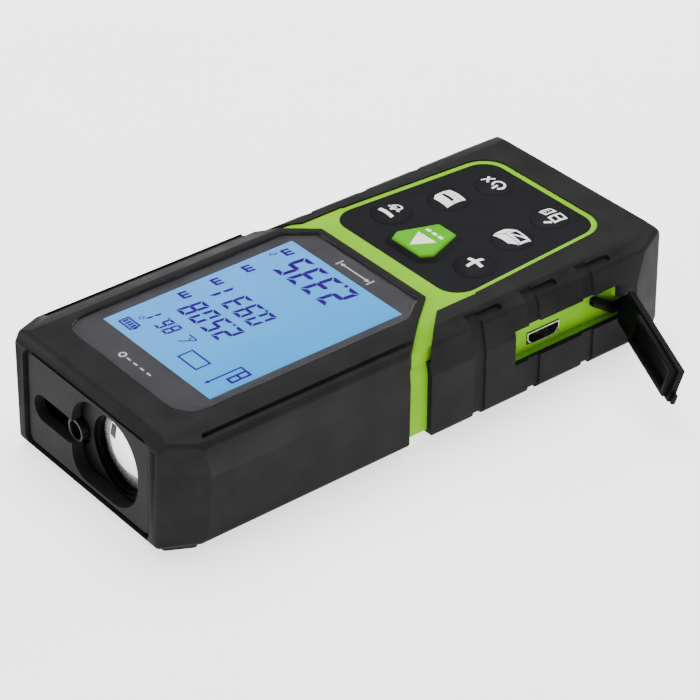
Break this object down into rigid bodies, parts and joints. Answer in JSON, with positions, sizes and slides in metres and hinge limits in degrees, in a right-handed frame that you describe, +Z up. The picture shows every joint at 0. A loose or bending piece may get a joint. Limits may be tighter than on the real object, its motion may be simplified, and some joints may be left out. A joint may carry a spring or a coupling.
{
  "type": "laser distance meter",
  "caption": "Pocket laser distance meter with large display, rubber-booted two-part shell, domed keypad, keyhole optics window and side charging port under a swinging cover",
  "frame": {"origin": "Mouth of the tripod thread, in the middle of the underside, on the plane that the feet rest on.", "axes": "+Y points the way the laser leaves, +Z points up out of the display, +X is to the right of someone who reads the display."},
  "size_m": [0.0761, 0.1129, 0.0235],
  "materials": {
    "lime_shell": "satin lime-green moulded plastic",
    "boot_rubber": "fine-textured soft-touch rubber, charcoal",
    "nose_plastic": "fine-textured black plastic",
    "label_foil": "plain silver-grey film",
    "window_clear": "clear polished acrylic",
    "mask_ink": "dark printed border under the window",
    "lcd": "blue-lit liquid crystal glass",
    "diffuser": "milky light guide",
    "black_plastic": "matt black moulded plastic",
    "keypad_silicone": "matt black silicone",
    "key_cap": "polished black key caps",
    "key_green": "bright green key cap",
    "dome_steel": "sprung steel domes",
    "circuit_board": "green solder mask",
    "flex_film": "amber polyimide film",
    "connector_plastic": "ivory connector plastic",
    "brass": "turned brass",
    "screw_steel": "zinc-plated steel",
    "chip_epoxy": "black epoxy",
    "tin_plate": "tin-plated steel",
    "tongue_plastic": "black glass-filled plastic",
    "cell_wrap": "silver-grey pouch film",
    "foam": "dark adhesive foam",
    "wire_jacket": "red wire insulation",
    "lens_glass": "coated optical glass",
    "barrel_metal": "turned aluminium",
    "diode_metal": "gold-plated header"
  },
  "bodies": {
    "body": {"upper_housing": "lime_shell", "lower_housing": "lime_shell", "front_boot": "boot_rubber", "rear_boot": "boot_rubber", "feet": "boot_rubber", "flap_anchor": "boot_rubber", "nose_plate": "nose_plastic", "base_label": "label_foil", "display_window": "window_clear", "window_mask": "mask_ink", "lcd_glass": "lcd", "lcd_backlight": "diffuser", "lcd_frame": "black_plastic", "optics_chassis": "black_plastic", "lens_retainer": "black_plastic", "keypad_membrane": "keypad_silicone", "dome_switches": "dome_steel", "keypad_board": "circuit_board", "main_board": "circuit_board", "sensor_board": "circuit_board", "lcd_flex": "flex_film", "sensor_flex": "flex_film", "board_link": "connector_plastic", "board_spacers": "brass", "tripod_insert": "brass", "keypad_screws": "screw_steel", "board_screws": "screw_steel", "housing_screws": "screw_steel", "optics_screws": "screw_steel", "main_chips": "chip_epoxy", "buzzer": "chip_epoxy", "shield_can": "tin_plate", "usb_receptacle": "tin_plate", "sensor_can": "tin_plate", "usb_tongue": "tongue_plastic", "battery_cell": "cell_wrap", "battery_pad": "foam", "battery_leads": "wire_jacket", "receiver_lens": "lens_glass", "collimator_lens": "lens_glass", "laser_barrel": "barrel_metal", "laser_diode": "diode_metal"},
    "key_measure": {"key_measure": "key_green"},
    "key_minus": {"key_minus": "key_cap"},
    "key_plus": {"key_plus": "key_cap"},
    "key_memory": {"key_memory": "key_cap"},
    "key_area": {"key_area": "key_cap"},
    "key_clear": {"key_clear": "key_cap"},
    "key_units": {"key_units": "key_cap"},
    "port_cover": {"usb_flap": "boot_rubber"}
  },
  "joints": [
    {"name": "key_measure_press", "type": "slide", "parent": "body", "child": "key_measure", "axis": [0, 0, -1], "range_m": [0, 0.0005], "stiffness_N_per_m": 3000},
    {"name": "key_minus_press", "type": "slide", "parent": "body", "child": "key_minus", "axis": [0, 0, -1], "range_m": [0, 0.0005], "stiffness_N_per_m": 3000},
    {"name": "key_plus_press", "type": "slide", "parent": "body", "child": "key_plus", "axis": [0, 0, -1], "range_m": [0, 0.0005], "stiffness_N_per_m": 3000},
    {"name": "key_memory_press", "type": "slide", "parent": "body", "child": "key_memory", "axis": [0, 0, -1], "range_m": [0, 0.0005], "stiffness_N_per_m": 3000},
    {"name": "key_area_press", "type": "slide", "parent": "body", "child": "key_area", "axis": [0, 0, -1], "range_m": [0, 0.0005], "stiffness_N_per_m": 3000},
    {"name": "key_clear_press", "type": "slide", "parent": "body", "child": "key_clear", "axis": [0, 0, -1], "range_m": [0, 0.0005], "stiffness_N_per_m": 3000},
    {"name": "key_units_press", "type": "slide", "parent": "body", "child": "key_units", "axis": [0, 0, -1], "range_m": [0, 0.0005], "stiffness_N_per_m": 3000},
    {"name": "port_cover_hinge", "type": "hinge", "parent": "body", "child": "port_cover", "pos_m": [-0.0262, -0.0437, 0.0112], "axis": [0.035, -0.223, 0.9742], "range_deg": [-72, 18]}
  ]
}
